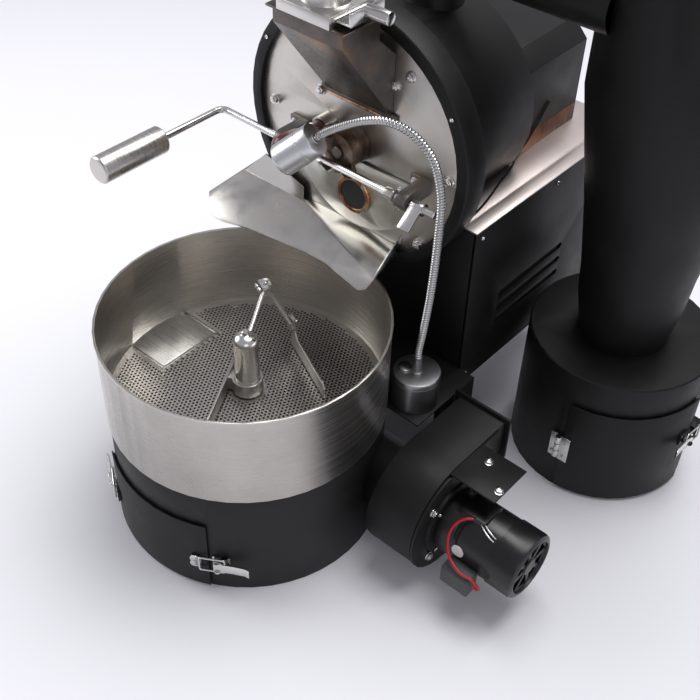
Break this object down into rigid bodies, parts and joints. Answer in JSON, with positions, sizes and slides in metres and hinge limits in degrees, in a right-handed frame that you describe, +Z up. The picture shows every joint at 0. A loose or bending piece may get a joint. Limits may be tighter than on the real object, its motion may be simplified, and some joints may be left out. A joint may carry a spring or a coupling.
{
  "type": "coffee roaster",
  "caption": "Small drum coffee roaster with a round cooling tray and stirrer, a cooling blower, a swing-out drop door and a chaff cyclone.",
  "frame": {"origin": "centre of the cooling tray base's underside, on the ground", "axes": "+Z up; -Y is the front, away from the roasting drum; +X towards the blower and the cyclone"},
  "size_m": [0.7301, 0.8555, 0.9333],
  "materials": {
    "black_paint": "satin textured black paint",
    "brushed_steel": "brushed stainless steel",
    "polished_steel": "bright plated steel",
    "aluminium": "satin aluminium",
    "pale_sheet": "pale stainless sheet",
    "tinted_steel": "heat tinted steel",
    "cast_iron": "dark machined iron",
    "grey_plastic": "dark grey moulding",
    "red_cable": "red cable sleeve",
    "cherry_wood": "varnished dark red wood",
    "glass": "clear heat-proof glass"
  },
  "bodies": {
    "frame": {"tray_base": "black_paint", "tray_cover": "black_paint", "tray_band": "brushed_steel", "tray_floor": "brushed_steel", "tray_spout": "brushed_steel", "stirrer_gearmotor": "black_paint", "tray_latch_ears_right": "polished_steel", "tray_latch_ears_left": "polished_steel", "blower_housing": "black_paint", "blower_end_plate": "black_paint", "blower_motor": "black_paint", "motor_fan_cover": "black_paint", "motor_capacitor": "grey_plastic", "motor_red_lead": "red_cable", "motor_shelf": "black_paint", "bridge_shelf": "black_paint", "cabinet_frame": "black_paint", "side_panel_right": "black_paint", "side_panel_left": "black_paint", "cabinet_top": "pale_sheet", "burner": "cast_iron", "drum_jacket": "black_paint", "front_ring": "black_paint", "face_plate": "brushed_steel", "front_bearing": "cast_iron", "drum_gearmotor": "black_paint", "drive_base": "tinted_steel", "drive_cover": "black_paint", "feed_chute": "cast_iron", "hopper": "brushed_steel", "axle_bracket_left": "cast_iron", "axle_bracket_right": "cast_iron", "discharge_chute": "brushed_steel", "lamp_base": "aluminium", "lamp_neck": "polished_steel", "lamp_head": "aluminium", "lamp_lens": "glass", "chaff_can": "black_paint", "cyclone_body": "black_paint"},
    "gate": {"tray_gate": "brushed_steel"},
    "stirrer": {"stirrer_post": "polished_steel", "stirrer_arm": "polished_steel", "stirrer_blade_outer": "brushed_steel", "stirrer_blade_inner": "brushed_steel"},
    "tray_lever_right": {"tray_latch_lever_right": "polished_steel"},
    "tray_bail_right": {"tray_latch_bail_right": "polished_steel"},
    "tray_lever_left": {"tray_latch_lever_left": "polished_steel"},
    "tray_bail_left": {"tray_latch_bail_left": "polished_steel"},
    "fan_wheel": {"blower_impeller": "aluminium"},
    "drum": {"roasting_drum": "cast_iron"},
    "hopper_slide": {"hopper_gate": "polished_steel"},
    "sampler": {"trier": "cherry_wood"},
    "drop_door": {"discharge_door": "brushed_steel", "sight_glass_ring": "tinted_steel", "sight_glass": "glass", "door_axle": "polished_steel", "lever_counterweight": "brushed_steel"},
    "can_door": {"chaff_can_door": "black_paint"},
    "can_lever": {"can_latch_lever": "polished_steel"},
    "can_bail": {"can_latch_bail": "polished_steel"}
  },
  "joints": [
    {"name": "gate_slide", "type": "slide", "parent": "frame", "child": "gate", "axis": [-1, 0, 0], "range_m": [0, 0.07]},
    {"name": "stirrer_spin", "type": "hinge", "parent": "frame", "child": "stirrer", "pos_m": [0, 0, 0.2], "axis": [0, 0, 1], "continuous": true},
    {"name": "fan_spin", "type": "hinge", "parent": "frame", "child": "fan_wheel", "pos_m": [0.26, 0.085, 0.1], "axis": [1, 0, 0], "continuous": true},
    {"name": "drum_spin", "type": "hinge", "parent": "frame", "child": "drum", "pos_m": [0, 0.32, 0.51], "axis": [0, 1, 0], "continuous": true},
    {"name": "hopper_gate_slide", "type": "slide", "parent": "frame", "child": "hopper_slide", "axis": [1, 0, 0], "range_m": [0, 0.066]},
    {"name": "trier_slide", "type": "slide", "parent": "frame", "child": "sampler", "axis": [0, -1, 0], "range_m": [0, 0.1]},
    {"name": "door_swing", "type": "hinge", "parent": "frame", "child": "drop_door", "pos_m": [0, 0.175, 0.495], "axis": [-1, 0, 0], "range_deg": [0, 60]},
    {"name": "can_door_swing", "type": "hinge", "parent": "frame", "child": "can_door", "pos_m": [0.3425, 0.30802, 0.087], "axis": [0, 0, -1], "range_deg": [0, 80]},
    {"name": "tray_right_lever_swing", "type": "hinge", "parent": "frame", "child": "tray_lever_right", "pos_m": [0.11022, -0.17639, 0.058], "axis": [0, 0, -1], "range_deg": [0, 90]},
    {"name": "tray_right_bail_swing", "type": "hinge", "parent": "tray_lever_right", "child": "tray_bail_right", "pos_m": [0.11791, -0.16982, 0.058], "axis": [0, 0, 1], "range_deg": [0, 75]},
    {"name": "tray_left_lever_swing", "type": "hinge", "parent": "frame", "child": "tray_lever_left", "pos_m": [-0.1193, -0.17038, 0.058], "axis": [0, 0, 1], "range_deg": [0, 90]},
    {"name": "tray_left_bail_swing", "type": "hinge", "parent": "tray_lever_left", "child": "tray_bail_left", "pos_m": [-0.12664, -0.16342, 0.058], "axis": [0, 0, -1], "range_deg": [0, 75]},
    {"name": "can_lever_swing", "type": "hinge", "parent": "can_door", "child": "can_lever", "pos_m": [0.49162, 0.43773, 0.108], "axis": [0, 0, 1], "range_deg": [0, 90]},
    {"name": "can_bail_swing", "type": "hinge", "parent": "can_lever", "child": "can_bail", "pos_m": [0.48925, 0.4279, 0.108], "axis": [0, 0, -1], "range_deg": [0, 75]}
  ],
  "couplings": [
    {"joint": "tray_right_bail_swing", "follows": "tray_right_lever_swing", "ratio": 0.78},
    {"joint": "tray_left_bail_swing", "follows": "tray_left_lever_swing", "ratio": 0.78},
    {"joint": "can_bail_swing", "follows": "can_lever_swing", "ratio": 0.78}
  ]
}
